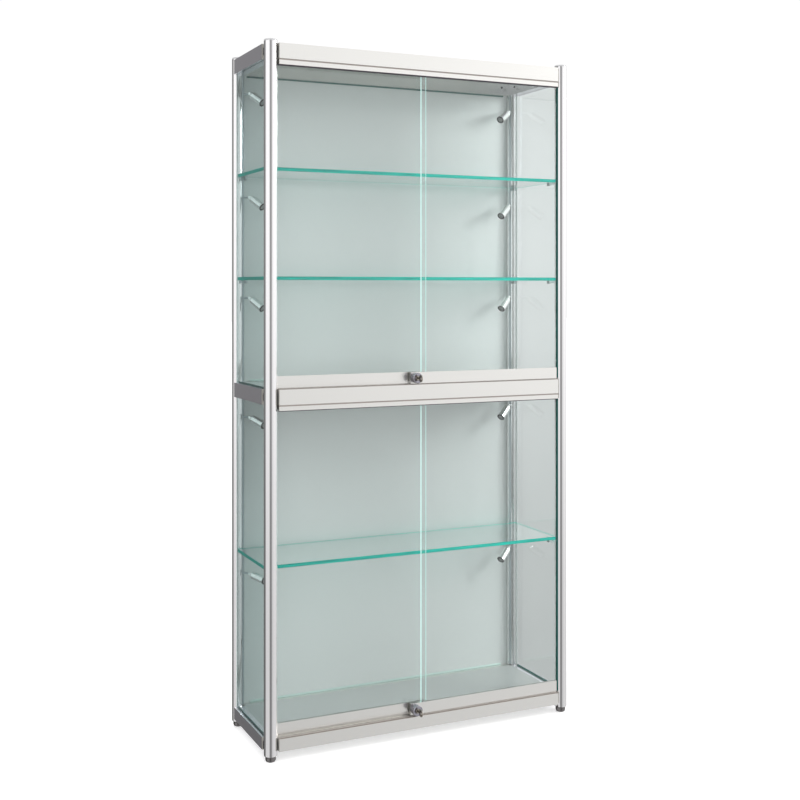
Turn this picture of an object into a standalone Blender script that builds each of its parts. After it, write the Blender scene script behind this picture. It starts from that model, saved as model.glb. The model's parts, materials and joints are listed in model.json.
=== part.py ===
"""Glass display showcase: a silver aluminium frame on levelling feet, with two closed sections.

Each section has a pair of sliding glass doors, fixed glass sides, a white back and its own lock.
Glass shelves make five compartments, and two spotlights light each of them from the rear uprights.

Metres, +Z up. The doors face -Y. The origin lies on the floor, below the middle of the whole
object, lock keys included.
"""

from math import acos, asin, ceil, cos, pi, radians, sin, sqrt

import bmesh
import bpy
from mathutils import Matrix, Vector
from mathutils.geometry import tessellate_polygon

# Driving dimensions
WIDTH = 0.980
DEPTH = 0.338
HEIGHT = 2.000
KEY_OVERHANG = 0.040
GAP = 0.0003

FRONT = -(DEPTH - KEY_OVERHANG) / 2
BACK = FRONT + DEPTH
SIDE = WIDTH / 2

# Uprights, their caps and the levelling feet
POST_R = 0.019
POST_BOTTOM = 0.017
POST_TOP = 1.993
POST_BORE_R = 0.0046
POST_X = SIDE - POST_R
POST_FRONT_Y = FRONT + POST_R
POST_BACK_Y = BACK - POST_R
ARC_STEP = radians(9)
CAP_RIM_R = 0.0186
CAP_SHOULDER = 0.0031
CAP_PEG_R = 0.0042
CAP_PEG_LENGTH = 0.013
FOOT_R = 0.0150
FOOT_SOLE_R = 0.0110
FOOT_STEM_R = 0.0040
FOOT_STEM_TOP = 0.060
FOOT_SEGMENTS = 24

# Beams: depth runs inwards from the outer face, height down from the top face
BEAM_DEPTH = 0.038
BEAM_H = 0.043
BASE_BEAM_H = 0.035
TOP_BEAM_Z = 1.988
MIDDLE_BEAM_Z = 1.0287
BASE_BEAM_Z = 0.063
BEAM_WALL = 0.003
FRONT_BEAM_WALL = 0.009
FRONT_BEAM_LENGTH = 2 * (SIDE - 2 * POST_R - GAP)
SIDE_BEAM_LENGTH = DEPTH - 2 * (2 * POST_R + GAP)

# Panes and panels stand in grooves set a little inside the outer faces
GROOVE_FROM = 0.0075
GROOVE_TO = 0.0135
GROOVE_DEPTH = 0.008
POST_GROOVE_FLOOR = 0.0095
DOOR_GROOVE = (0.0075, 0.0185)
PANE_T = 0.005
PANE_INSET = 0.008
PANE_ENTRY = 0.007
PANE_POST_ENTRY = 0.0110

# Decks and ceiling lie in a rebate along the inner top edge of the beams
REBATE_W = 0.006
REBATE_H = 0.006
DECK_T = 0.0055
DECK_CORNER = 0.010

# Door track on the front beams, measured in depth from the front face
LEDGE_DEPTH = BEAM_DEPTH + REBATE_W
FINS = ((0.021, 0.023), (0.0355, 0.0375))
FIN_H = 0.0095
RIDGES = ((0.0142, 0.0158), (0.0282, 0.0298))
RIDGE_H = 0.0025
LIP = (0.0010, 0.0055)
LIP_H = 0.0160
LIP_GROOVE_H = 0.0040
LIP_GROOVE_DEPTH = 0.0040

# Doors
RAIL_T = 0.010
RAIL_H = 0.0332
RAIL_LIFT = RIDGE_H + GAP
RAIL_SLOT_W = 0.0056
RAIL_SLOT_DEPTH = 0.022
OUTER_DEPTH = 0.015
INNER_DEPTH = 0.029
DOOR_OVERLAP = 0.011
OUTER_RAIL_END = -0.046
DOOR_TOP_GAP = 0.0070
OUTER_DOOR_RIGHT = SIDE - 2 * POST_R - 0.0005
OUTER_PANE_RIGHT = OUTER_DOOR_RIGHT + 0.0045
INNER_DOOR_LEFT = -(SIDE - 2 * POST_R)

# Locks, centred on the outer rail's extension
LOCK_X = -0.032
LOCK_R = 0.0150
LOCK_LENGTH = 0.022
LOCK_TAIL_R = 0.008
LOCK_BORE_R = 0.0068
LOCK_RISE = RAIL_LIFT + RAIL_H / 2
PLUG_R = 0.0065
PLUG_NECK_R = 0.004
CAM_T = 0.0017
CAM_HALF_W = 0.0035
CAM_REACH = 0.0085
LUG_W = 0.004
LUG_T = 0.0027
LUG_BELOW = (0.0055, 0.0094)
KEY_T = 0.0022
KEY_BOW_R = 0.011
KEY_HOLE_R = 0.0035
KEY_BLADE_H = 0.006
LOCK_SEGMENTS = 28

# Shelves
SHELF_T = 0.010
SHELF_END = 0.475
SHELF_FRONT = FRONT + 0.052
SHELF_BACK = BACK - 0.0395
SHELF_CENTRES = (1.6435, 1.3372, 0.5285)

# Arms under the shelf corners, from the front uprights and from the lamp strips behind
ARM_X = SIDE - 0.0305
ARM_W = 0.004
ARM_H = 0.008
ARM_REACH = 0.024

# Vertical strips that carry the spotlights, on the inner 45 degree face of each rear upright
STRIP_FROM = 0.0193
STRIP_TO = 0.0218
STRIP_W = 0.008
STRIP_BOTTOM = 0.066
STRIP_TOP = 1.975

# Spotlights
LAMP_HEIGHTS = (1.888, 1.580, 1.280, 0.924, 0.458)
LAMP_AIMS = (
    ("left", -1, radians(60), (32, 32, 32, 20, 12)),
    ("right", 1, radians(27), (32, 39, 41, 38, 36)),
)
LAMP_FROM_SIDE = 0.0495
LAMP_FROM_BACK = 0.050
LAMP_R = 0.0125
LAMP_LENGTH = 0.058
LAMP_SEGMENTS = 18
EAR_FROM = 0.0019
EAR_TO = 0.0039
EAR_R = 0.0045
EYE_HALF_T = 0.0016
PIN_R = 0.0015
EYE_HOLE_R = 0.0020
STEM_R = 0.0030
STEM_END = 0.0080

TOUCH = 1e-6


def clear_scene():
    for obj in list(bpy.data.objects):
        bpy.data.objects.remove(obj, do_unlink=True)


def make_material(name, colour, roughness, metallic=0.0, transmission=0.0):
    """A Principled material with the piece's own colour and finish."""
    material = bpy.data.materials.new(name)
    material.use_nodes = True
    shader = material.node_tree.nodes["Principled BSDF"]
    shader.inputs["Base Color"].default_value = (*colour, 1.0)
    shader.inputs["Roughness"].default_value = roughness
    shader.inputs["Metallic"].default_value = metallic
    shader.inputs["Transmission Weight"].default_value = transmission
    return material


# --- meshes ------------------------------------------------------------------


def object_of(name, bm, material):
    """Closes a bmesh into a named object, with its faces out and its round sides smooth."""
    bmesh.ops.remove_doubles(bm, verts=bm.verts, dist=TOUCH)
    bmesh.ops.recalc_face_normals(bm, faces=bm.faces)
    mesh = bpy.data.meshes.new(name)
    bm.to_mesh(mesh)
    bm.free()
    mesh.shade_smooth()
    mesh.set_sharp_from_angle(angle=radians(30))
    if material:
        mesh.materials.append(material)
    obj = bpy.data.objects.new(name, mesh)
    bpy.context.scene.collection.objects.link(obj)
    return obj


def prism_mesh(loops, length, place):
    """A straight extrusion of an outline and its holes. place turns (u, v) into a start point
    and length is the vector that the section is swept along."""
    bm = bmesh.new()
    flat = [[Vector((u, v, 0.0)) for u, v in loop] for loop in loops]
    corners = [bm.verts.new(place(p.x, p.y)) for loop in flat for p in loop]
    for triangle in tessellate_polygon(flat):
        bm.faces.new([corners[i] for i in triangle])
    swept = bmesh.ops.extrude_face_region(bm, geom=bm.faces[:])
    moved = [item for item in swept["geom"] if isinstance(item, bmesh.types.BMVert)]
    bmesh.ops.translate(bm, verts=moved, vec=length)
    return bm


def bar(name, loops, length, material):
    """An extrusion along local X, whose section is given as (depth along Y, height along Z)."""
    bm = prism_mesh(loops, Vector((length, 0, 0)), lambda u, v: (0, u, v))
    return object_of(name, bm, material)


def column(name, loops, height, material):
    """An extrusion along local Z."""
    bm = prism_mesh(loops, Vector((0, 0, height)), lambda u, v: (u, v, 0))
    return object_of(name, bm, material)


def box(name, low, high, material):
    """A plain block between two corners, with its origin at the middle of its underside."""
    centre = Vector(((low[0] + high[0]) / 2, (low[1] + high[1]) / 2, low[2]))
    half_x, half_y = (high[0] - low[0]) / 2, (high[1] - low[1]) / 2
    outline = [(-half_x, -half_y), (half_x, -half_y), (half_x, half_y), (-half_x, half_y)]
    obj = column(name, [outline], high[2] - low[2], material)
    obj.location = centre
    return obj


def turned(name, profile, segments, material):
    """A solid of revolution about local Z. The profile of (radius, z) runs top to bottom."""
    bm = bmesh.new()
    line = [bm.verts.new((r, 0, z)) for r, z in profile]
    edges = [bm.edges.new(pair) for pair in zip(line, line[1:])]
    if profile[0][0] > 0:
        edges.append(bm.edges.new((line[-1], line[0])))
    bmesh.ops.spin(
        bm,
        geom=line + edges,
        cent=(0, 0, 0),
        axis=(0, 0, 1),
        angle=2 * pi,
        steps=segments,
        use_merge=True,
    )
    return object_of(name, bm, material)


def arc(radius, start, end, centre=(0.0, 0.0)):
    """Points of an arc in the plane, with both ends, at most ARC_STEP apart."""
    steps = ceil(abs(end - start) / ARC_STEP)
    angles = [start + (end - start) * i / steps for i in range(steps + 1)]
    return [(centre[0] + radius * cos(a), centre[1] + radius * sin(a)) for a in angles]


def circle(radius, segments, centre=(0.0, 0.0)):
    angles = [2 * pi * i / segments for i in range(segments)]
    return [(centre[0] + radius * cos(a), centre[1] + radius * sin(a)) for a in angles]


def rectangle(low_u, low_v, high_u, high_v):
    return [(low_u, low_v), (high_u, low_v), (high_u, high_v), (low_u, high_v)]


def combine(obj, others, operation):
    """Joins or cuts obj with other meshes for good, then removes them."""
    for other in others:
        modifier = obj.modifiers.new(operation.title(), "BOOLEAN")
        modifier.operation = operation
        modifier.solver = "EXACT"
        modifier.object = other
    bpy.context.view_layer.update()
    graph = bpy.context.evaluated_depsgraph_get()
    mesh = bpy.data.meshes.new_from_object(obj.evaluated_get(graph))
    mesh.name = obj.name
    obj.modifiers.clear()
    obj.data = mesh
    for other in others:
        bpy.data.objects.remove(other, do_unlink=True)
    return obj


def stand(obj, x, y, z, turn=0.0):
    obj.location = (x, y, z)
    obj.rotation_euler = (0, 0, turn)
    return obj


# --- frame -------------------------------------------------------------------

PANE_GROOVE = (GROOVE_FROM, GROOVE_TO)

# Name, centre and turn of each corner, then the groove on the side facing its own +X and the one
# on the side facing its own +Y, each as its span of depth from the outer face. The inner doors
# only meet the front left upright, so it has no groove for them.
CORNERS = (
    ("front_left", -POST_X, POST_FRONT_Y, 0.0, None, PANE_GROOVE),
    ("front_right", POST_X, POST_FRONT_Y, pi / 2, PANE_GROOVE, DOOR_GROOVE),
    ("rear_right", POST_X, POST_BACK_Y, pi, PANE_GROOVE, PANE_GROOVE),
    ("rear_left", -POST_X, POST_BACK_Y, -pi / 2, PANE_GROOVE, PANE_GROOVE),
)


def upright_section(groove_x, groove_y):
    """A round section with a bore down its middle and a groove facing +X, one facing +Y, or both.
    Unturned it is the front left upright, whose outer faces are towards -X and -Y."""
    near_y, far_y = POST_R - groove_y[1], POST_R - groove_y[0]
    outline = [(-near_y, POST_GROOVE_FLOOR), (-far_y, POST_GROOVE_FLOOR)]
    start, end = acos(-far_y / POST_R), 2 * pi + acos(-near_y / POST_R)
    if groove_x:
        near_x, far_x = POST_R - groove_x[1], POST_R - groove_x[0]
        outline += arc(POST_R, start, 2 * pi - asin(far_x / POST_R))
        outline += [(POST_GROOVE_FLOOR, -far_x), (POST_GROOVE_FLOOR, -near_x)]
        start = 2 * pi - asin(near_x / POST_R)
    return [outline + arc(POST_R, start, end), circle(POST_BORE_R, 12)]


def shelf_arms(x, start_y, end_y):
    """An arm along Y under one corner of each shelf."""
    near, far = sorted((start_y, end_y))
    arms = []
    for shelf in SHELF_CENTRES:
        top = shelf - SHELF_T / 2 - GAP
        low = (x - ARM_W / 2, near, top - ARM_H)
        high = (x + ARM_W / 2, far, top)
        arms.append(box("arm", low, high, None))
    return arms


def build_uprights(aluminium, cap_material, foot_material):
    shoulder = HEIGHT - CAP_SHOULDER
    rim_from = POST_TOP + GAP
    dome_steps = 4
    dome = [
        (
            CAP_RIM_R * sin(pi / 2 * i / dome_steps),
            shoulder + CAP_SHOULDER * cos(pi / 2 * i / dome_steps),
        )
        for i in range(dome_steps + 1)
    ]
    cap_profile = dome + [
        (CAP_RIM_R, rim_from),
        (CAP_PEG_R, rim_from),
        (CAP_PEG_R, rim_from - CAP_PEG_LENGTH),
        (0.0, rim_from - CAP_PEG_LENGTH),
    ]
    foot_profile = [
        (0.0, FOOT_STEM_TOP),
        (FOOT_STEM_R, FOOT_STEM_TOP),
        (FOOT_STEM_R, POST_BOTTOM - GAP),
        (FOOT_R * 0.72, POST_BOTTOM - GAP),
        (FOOT_R, POST_BOTTOM - 0.004),
        (FOOT_R, 0.0060),
        (FOOT_R * 0.90, 0.0018),
        (FOOT_SOLE_R, 0.0),
        (0.0, 0.0),
    ]
    for corner, x, y, turn, groove_x, groove_y in CORNERS:
        section = upright_section(groove_x, groove_y)
        post = column("upright_" + corner, section, POST_TOP - POST_BOTTOM, aluminium)
        stand(post, x, y, POST_BOTTOM, turn)
        if y == POST_FRONT_Y:
            arm_x = ARM_X if x > 0 else -ARM_X
            arms = shelf_arms(arm_x, y + POST_R * 0.7, SHELF_FRONT + ARM_REACH)
            combine(post, arms, "UNION")
        stand(turned("cap_" + corner, cap_profile, FOOT_SEGMENTS, cap_material), x, y, 0)
        stand(turned("foot_" + corner, foot_profile, FOOT_SEGMENTS, foot_material), x, y, 0)


def beam_section(height, groove_above, groove_below):
    """A hollow beam with a deck rebate, and a pane groove in its top, its underside or both."""
    bottom = -height
    outline = [(0.0, bottom)]
    if groove_below:
        outline += [
            (GROOVE_FROM, bottom),
            (GROOVE_FROM, bottom + GROOVE_DEPTH),
            (GROOVE_TO, bottom + GROOVE_DEPTH),
            (GROOVE_TO, bottom),
        ]
    outline += [
        (BEAM_DEPTH, bottom),
        (BEAM_DEPTH, -REBATE_H),
        (BEAM_DEPTH - REBATE_W, -REBATE_H),
        (BEAM_DEPTH - REBATE_W, 0.0),
    ]
    if groove_above:
        outline += [
            (GROOVE_TO, 0.0),
            (GROOVE_TO, -GROOVE_DEPTH),
            (GROOVE_FROM, -GROOVE_DEPTH),
            (GROOVE_FROM, 0.0),
        ]
    outline.append((0.0, 0.0))
    low = bottom + BEAM_WALL + (GROOVE_DEPTH if groove_below else 0.0)
    high = -GROOVE_DEPTH - BEAM_WALL
    bore = rectangle(BEAM_WALL, low, BEAM_DEPTH - BEAM_WALL, high)
    return [outline, bore]


def front_beam_section(height, track_above, guide_below):
    """A hollow front beam. A track has ridges and fins on top for the rails of the doors above,
    and a guide has a lip and fins below that hold the top edges of the doors underneath."""
    bottom = -height
    depth = LEDGE_DEPTH if track_above else BEAM_DEPTH
    outline = [(0.0, bottom)]
    if guide_below:
        lip_bottom = bottom - LIP_H
        outline += [
            (LIP_GROOVE_DEPTH, bottom),
            (LIP_GROOVE_DEPTH, bottom - LIP_GROOVE_H),
            (LIP[0], bottom - LIP_GROOVE_H),
            (LIP[0], lip_bottom),
            (LIP[1], lip_bottom),
            (LIP[1], bottom),
        ]
        for start, end in FINS:
            outline += [
                (start, bottom),
                (start, lip_bottom + RIDGE_H),
                (end, lip_bottom + RIDGE_H),
                (end, bottom),
            ]
    outline += [
        (depth, bottom),
        (depth, -REBATE_H),
        (depth - REBATE_W, -REBATE_H),
        (depth - REBATE_W, 0.0),
    ]
    if track_above:
        raised = [(span, FIN_H) for span in FINS] + [(span, RIDGE_H) for span in RIDGES]
        for (start, end), top in sorted(raised, reverse=True):
            outline += [(end, 0.0), (end, top), (start, top), (start, 0.0)]
    outline.append((0.0, 0.0))
    bore = rectangle(
        FRONT_BEAM_WALL, bottom + BEAM_WALL, BEAM_DEPTH - BEAM_WALL, -REBATE_H - BEAM_WALL
    )
    return [outline, bore]


def build_beams(aluminium):
    half_front = FRONT_BEAM_LENGTH / 2
    half_side = SIDE_BEAM_LENGTH / 2
    middle_y = (FRONT + BACK) / 2
    levels = (
        ("top", TOP_BEAM_Z, BEAM_H, False, True),
        ("middle", MIDDLE_BEAM_Z, BEAM_H, True, True),
        ("base", BASE_BEAM_Z, BASE_BEAM_H, True, False),
    )
    for level, z, height, above, below in levels:
        front = front_beam_section(height, above, below)
        plain = beam_section(height, above, below)
        stand(
            bar(f"front_{level}_beam", front, FRONT_BEAM_LENGTH, aluminium),
            -half_front,
            FRONT,
            z,
        )
        stand(
            bar(f"rear_{level}_beam", plain, FRONT_BEAM_LENGTH, aluminium),
            half_front,
            BACK,
            z,
            pi,
        )
        stand(
            bar(f"left_{level}_beam", plain, SIDE_BEAM_LENGTH, aluminium),
            -SIDE,
            middle_y + half_side,
            z,
            -pi / 2,
        )
        stand(
            bar(f"right_{level}_beam", plain, SIDE_BEAM_LENGTH, aluminium),
            SIDE,
            middle_y - half_side,
            z,
            pi / 2,
        )


# --- panes, panels and shelves -----------------------------------------------

SECTIONS = (
    ("upper", MIDDLE_BEAM_Z, TOP_BEAM_Z - BEAM_H),
    ("lower", BASE_BEAM_Z, MIDDLE_BEAM_Z - BEAM_H),
)


def build_fixed_panes(glass, panel):
    """Side panes and back panels, held in the grooves of the uprights and the beams."""
    near = POST_FRONT_Y + PANE_POST_ENTRY
    far = POST_BACK_Y - PANE_POST_ENTRY
    end = POST_X - PANE_POST_ENTRY
    for section, floor, roof in SECTIONS:
        low, high = floor - PANE_ENTRY, roof + PANE_ENTRY
        outer = SIDE - PANE_INSET
        inner = outer - PANE_T
        box(f"{section}_left_side_glass", (-outer, near, low), (-inner, far, high), glass)
        box(f"{section}_right_side_glass", (inner, near, low), (outer, far, high), glass)
        rear = BACK - PANE_INSET
        box(f"{section}_back_panel", (-end, rear - PANE_T, low), (end, rear, high), panel)


def build_decks(panel):
    """The ceiling and the two floors, which lie in the beams' rebates, clear of the strips."""
    x = SIDE - BEAM_DEPTH + REBATE_W - GAP
    rear = BACK - BEAM_DEPTH + REBATE_W - GAP
    ceiling_front = FRONT + BEAM_DEPTH - REBATE_W + GAP
    deck_front = FRONT + BEAM_DEPTH + GAP
    pieces = (
        ("ceiling_panel", TOP_BEAM_Z, ceiling_front),
        ("middle_deck", MIDDLE_BEAM_Z, deck_front),
        ("base_deck", BASE_BEAM_Z, deck_front),
    )
    cut = DECK_CORNER
    for name, beam_top, front in pieces:
        outline = [
            (-x + cut, front),
            (x - cut, front),
            (x, front + cut),
            (x, rear - cut),
            (x - cut, rear),
            (-x + cut, rear),
            (-x, rear - cut),
            (-x, front + cut),
        ]
        stand(column(name, [outline], DECK_T, panel), 0, 0, beam_top - REBATE_H + GAP)


def build_shelves(shelf_glass):
    for number, centre in enumerate(SHELF_CENTRES, start=1):
        low = (-SHELF_END, SHELF_FRONT, centre - SHELF_T / 2)
        high = (SHELF_END, SHELF_BACK, centre + SHELF_T / 2)
        box(f"glass_shelf_{number}", low, high, shelf_glass)


# --- doors and locks ---------------------------------------------------------


def rail_section():
    """A rail with a slot along its top for the pane, centred on the pane."""
    half, slot = RAIL_T / 2, RAIL_SLOT_W / 2
    floor = RAIL_H - RAIL_SLOT_DEPTH
    return [
        [
            (-half, 0.0),
            (half, 0.0),
            (half, RAIL_H),
            (slot, RAIL_H),
            (slot, floor),
            (-slot, floor),
            (-slot, RAIL_H),
            (-half, RAIL_H),
        ]
    ]


def cylinder_along_y(name, radius, low_y, high_y, x, z):
    """A round rod parallel to the Y axis."""
    rod = turned(name, [(0.0, high_y - low_y), (radius, high_y - low_y), (radius, 0), (0, 0)], 24, None)
    rod.rotation_euler = (-pi / 2, 0, 0)
    rod.location = (x, low_y, z)
    return rod


def build_doors(glass, aluminium):
    for section, floor, roof in SECTIONS:
        rail_z = floor + RAIL_LIFT
        low = rail_z + RAIL_H - RAIL_SLOT_DEPTH + GAP
        high = roof - DOOR_TOP_GAP
        lock_z = floor + LOCK_RISE

        y = FRONT + OUTER_DEPTH
        rail = bar(
            f"{section}_right_door_rail",
            rail_section(),
            OUTER_DOOR_RIGHT - OUTER_RAIL_END,
            aluminium,
        )
        stand(rail, OUTER_RAIL_END, y, rail_z)
        hole = cylinder_along_y("hole", LOCK_TAIL_R + GAP, y - RAIL_T, y + RAIL_T, LOCK_X, lock_z)
        combine(rail, [hole], "DIFFERENCE")
        box(
            f"{section}_right_door_glass",
            (-DOOR_OVERLAP, y - PANE_T / 2, low),
            (OUTER_PANE_RIGHT, y + PANE_T / 2, high),
            glass,
        )

        y = FRONT + INNER_DEPTH
        rail = bar(
            f"{section}_left_door_rail",
            rail_section(),
            DOOR_OVERLAP - INNER_DOOR_LEFT,
            aluminium,
        )
        stand(rail, INNER_DOOR_LEFT, y, rail_z)
        face = y - RAIL_T / 2
        lug_x = LOCK_X - CAM_HALF_W - 0.0007
        lug = box(
            "lug",
            (lug_x - LUG_W, face - LUG_T, lock_z - LUG_BELOW[1]),
            (lug_x, face + LUG_T, lock_z - LUG_BELOW[0]),
            None,
        )
        combine(rail, [lug], "UNION")
        box(
            f"{section}_left_door_glass",
            (INNER_DOOR_LEFT, y - PANE_T / 2, low),
            (DOOR_OVERLAP, y + PANE_T / 2, high),
            glass,
        )


def lock_housing(name, material):
    """A barrel on the rail's front, its tail through the rail. Local Z runs into the rail, from
    the barrel's face."""
    seat = LOCK_LENGTH - GAP
    profile = [
        (LOCK_BORE_R, LOCK_LENGTH + RAIL_T),
        (LOCK_TAIL_R, LOCK_LENGTH + RAIL_T),
        (LOCK_TAIL_R, seat),
        (LOCK_R, seat),
        (LOCK_R, 0.0015),
        (LOCK_R - 0.0015, 0.0),
        (LOCK_BORE_R + 0.0010, 0.0),
        (LOCK_BORE_R, 0.0010),
    ]
    return turned(name, profile, LOCK_SEGMENTS, material)


def lock_plug(name, material):
    """The turning plug with its cam behind the rail and its key in front. Local Z runs into the
    rail, and local X towards the cam."""
    tail = LOCK_LENGTH + RAIL_T + GAP
    end = tail + 0.0026
    profile = [
        (0.0, end),
        (PLUG_NECK_R, end),
        (PLUG_NECK_R, tail),
        (PLUG_R, tail),
        (PLUG_R, 0.0010),
        (PLUG_R - 0.0005, 0.0005),
        (0.0, 0.0005),
    ]
    plug = turned(name, profile, LOCK_SEGMENTS, material)
    cam_outline = rectangle(-CAM_HALF_W, -CAM_HALF_W, CAM_REACH, CAM_HALF_W)
    cam = column("cam", [cam_outline], CAM_T, None)
    cam.location = (0, 0, end - CAM_T - 0.0002)
    bow_centre = -(KEY_OVERHANG - LOCK_LENGTH + OUTER_DEPTH - RAIL_T / 2) + KEY_BOW_R
    key_outline = circle(KEY_BOW_R, 20, (0.0, bow_centre))
    key_hole = circle(KEY_HOLE_R, 12, (0.0, bow_centre - 0.004))
    bow_mesh = prism_mesh(
        [key_outline, key_hole], Vector((KEY_T, 0, 0)), lambda u, v: (-KEY_T / 2, u, v)
    )
    bow = object_of("bow", bow_mesh, None)
    half = KEY_BLADE_H / 2
    blade_mesh = prism_mesh(
        [rectangle(-half, bow_centre + KEY_BOW_R * 0.8, half, 0.004)],
        Vector((KEY_T * 0.8, 0, 0)),
        lambda u, v: (-KEY_T * 0.4, u, v),
    )
    blade = object_of("blade", blade_mesh, None)
    return combine(plug, [cam, blade, bow], "UNION")


def build_locks(chrome, key_metal):
    """Each lock is on the outer door's rail. Its axis runs along +Y, and the cam points to +X."""
    face_y = FRONT + OUTER_DEPTH - RAIL_T / 2 - LOCK_LENGTH
    for section, floor, _ in SECTIONS:
        place = Matrix.Translation((LOCK_X, face_y, floor + LOCK_RISE))
        turn = Matrix.Rotation(-pi / 2, 4, "X")
        lock_housing(f"{section}_lock_housing", chrome).matrix_world = place @ turn
        lock_plug(f"{section}_lock_plug_and_key", key_metal).matrix_world = place @ turn


# --- strips and spotlights ---------------------------------------------------


def lamp_pivot(side, height):
    """The tilt axis's middle for a lamp on the left (-1) or the right (1)."""
    return Vector((side * (SIDE - LAMP_FROM_SIDE), BACK - LAMP_FROM_BACK, height))


def lamp_heading(side, azimuth):
    """The level direction that a lamp points in, inwards and forwards."""
    return Vector((-side * cos(azimuth), -sin(azimuth), 0))


def rod_between(name, start, end, radius, sides):
    way = end - start
    rod = turned(name, [(0, way.length), (radius, way.length), (radius, 0), (0, 0)], sides, None)
    turn = way.to_track_quat("Z", "Y").to_matrix().to_4x4()
    rod.matrix_world = Matrix.Translation(start) @ turn
    return rod


def lamp_stem(side, azimuth, height, root):
    """The short stem from a strip to a lamp: a bent rod, and a flat eye for the lamp's pin."""
    pivot = lamp_pivot(side, height)
    heading = lamp_heading(side, azimuth)
    up = Vector((0, 0, 1))
    across = heading.cross(up)
    knee = pivot - heading * STEM_END
    rod = rod_between("stem", Vector((*root, height)), knee - heading * 0.0005, STEM_R, 12)
    knuckle = rod_between("knuckle", knee - heading * 0.004, knee + heading * 0.0005, STEM_R, 12)
    half = EAR_R / 2
    tongue = -STEM_END - 0.002
    outline = arc(EAR_R, -pi + asin(0.5), pi - asin(0.5)) + [(tongue, half), (tongue, -half)]
    base = pivot - across * EYE_HALF_T
    eye = prism_mesh(
        [outline, circle(EYE_HOLE_R, 12)],
        across * (2 * EYE_HALF_T),
        lambda u, v: base + heading * u + up * v,
    )
    return [rod, knuckle, object_of("eye", eye, None)]


def build_lamp_strips(strip_material):
    """A strip down each rear upright, with an arm under each shelf and a stem to each lamp."""
    turns = {"left": -pi / 4, "right": -3 * pi / 4}
    reach = (STRIP_FROM + STRIP_TO) / 2 / sqrt(2)
    for side_name, side, azimuth, _ in LAMP_AIMS:
        outline = rectangle(STRIP_FROM, -STRIP_W / 2, STRIP_TO, STRIP_W / 2)
        height = STRIP_TOP - STRIP_BOTTOM
        strip = column(f"{side_name}_lamp_strip", [outline], height, strip_material)
        stand(strip, side * POST_X, POST_BACK_Y, STRIP_BOTTOM, turns[side_name])
        root = (side * (POST_X - reach), POST_BACK_Y - reach)
        extras = shelf_arms(root[0], root[1], SHELF_BACK - ARM_REACH)
        for lamp_z in LAMP_HEIGHTS:
            extras += lamp_stem(side, azimuth, lamp_z, root)
        combine(strip, extras, "UNION")


def lamp_head(name, material):
    """A spotlight's head. Local Z points along its beam from the tilt axis, local X along the
    axis. Two ears hold the stem's eye between them, on a pin."""
    barrel = [
        (0.0, LAMP_LENGTH - 0.003),
        (LAMP_R - 0.0025, LAMP_LENGTH - 0.003),
        (LAMP_R - 0.0012, LAMP_LENGTH),
        (LAMP_R, LAMP_LENGTH - 0.0006),
        (LAMP_R, 0.0130),
        (LAMP_R * 0.86, 0.0090),
        (LAMP_R * 0.50, 0.0068),
        (0.0, 0.0068),
    ]
    head = turned(name, barrel, LAMP_SEGMENTS, material)
    ear_outline = arc(EAR_R, -pi, 0.0) + [(EAR_R, 0.0085), (-EAR_R, 0.0085)]
    extras = []
    for start in (EAR_FROM, -EAR_TO):
        ear = prism_mesh(
            [ear_outline],
            Vector((EAR_TO - EAR_FROM, 0, 0)),
            lambda u, v, start=start: (start, u, v),
        )
        extras.append(object_of("ear", ear, None))
    half = EAR_TO - 0.0003
    extras.append(rod_between("pin", Vector((-half, 0, 0)), Vector((half, 0, 0)), PIN_R, 10))
    return combine(head, extras, "UNION")


def build_lamps(lamp_metal):
    up = Vector((0, 0, 1))
    for side_name, side, azimuth, tilts in LAMP_AIMS:
        heading = lamp_heading(side, azimuth)
        across = heading.cross(up)
        for number, (height, tilt) in enumerate(zip(LAMP_HEIGHTS, tilts), start=1):
            beam = heading * cos(radians(tilt)) - up * sin(radians(tilt))
            axes = Matrix((across, beam.cross(across), beam)).transposed().to_4x4()
            head = lamp_head(f"{side_name}_lamp_{number}", lamp_metal)
            head.matrix_world = Matrix.Translation(lamp_pivot(side, height)) @ axes


def main():
    clear_scene()
    aluminium = make_material("satin_aluminium", (0.80, 0.80, 0.80), 0.32, metallic=1.0)
    cap_material = make_material("cap_silver", (0.62, 0.62, 0.63), 0.40, metallic=0.8)
    foot_material = make_material("foot_black_chrome", (0.04, 0.04, 0.045), 0.22, metallic=0.9)
    glass = make_material("clear_glass", (0.86, 0.94, 0.92), 0.02, transmission=1.0)
    shelf_glass = make_material("shelf_glass", (0.55, 0.86, 0.78), 0.02, transmission=1.0)
    panel = make_material("white_panel", (0.82, 0.84, 0.83), 0.55)
    strip_material = make_material("strip_silver", (0.78, 0.79, 0.78), 0.35, metallic=0.6)
    chrome = make_material("lock_chrome", (0.72, 0.71, 0.70), 0.12, metallic=1.0)
    key_metal = make_material("key_nickel", (0.66, 0.62, 0.54), 0.25, metallic=1.0)
    lamp_metal = make_material("lamp_silver", (0.84, 0.85, 0.85), 0.25, metallic=0.9)

    build_uprights(aluminium, cap_material, foot_material)
    build_beams(aluminium)
    build_fixed_panes(glass, panel)
    build_decks(panel)
    build_shelves(shelf_glass)
    build_doors(glass, aluminium)
    build_locks(chrome, key_metal)
    build_lamp_strips(strip_material)
    build_lamps(lamp_metal)


main()
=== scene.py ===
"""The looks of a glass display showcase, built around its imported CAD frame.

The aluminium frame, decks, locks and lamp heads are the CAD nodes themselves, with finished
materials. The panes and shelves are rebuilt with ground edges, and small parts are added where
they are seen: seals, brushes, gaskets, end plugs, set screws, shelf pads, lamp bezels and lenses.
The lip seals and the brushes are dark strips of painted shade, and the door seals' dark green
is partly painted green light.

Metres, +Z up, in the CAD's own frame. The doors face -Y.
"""

import json
from math import cos, pi, radians, sin

import bmesh
import bpy
from mathutils import Matrix, Vector


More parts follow.
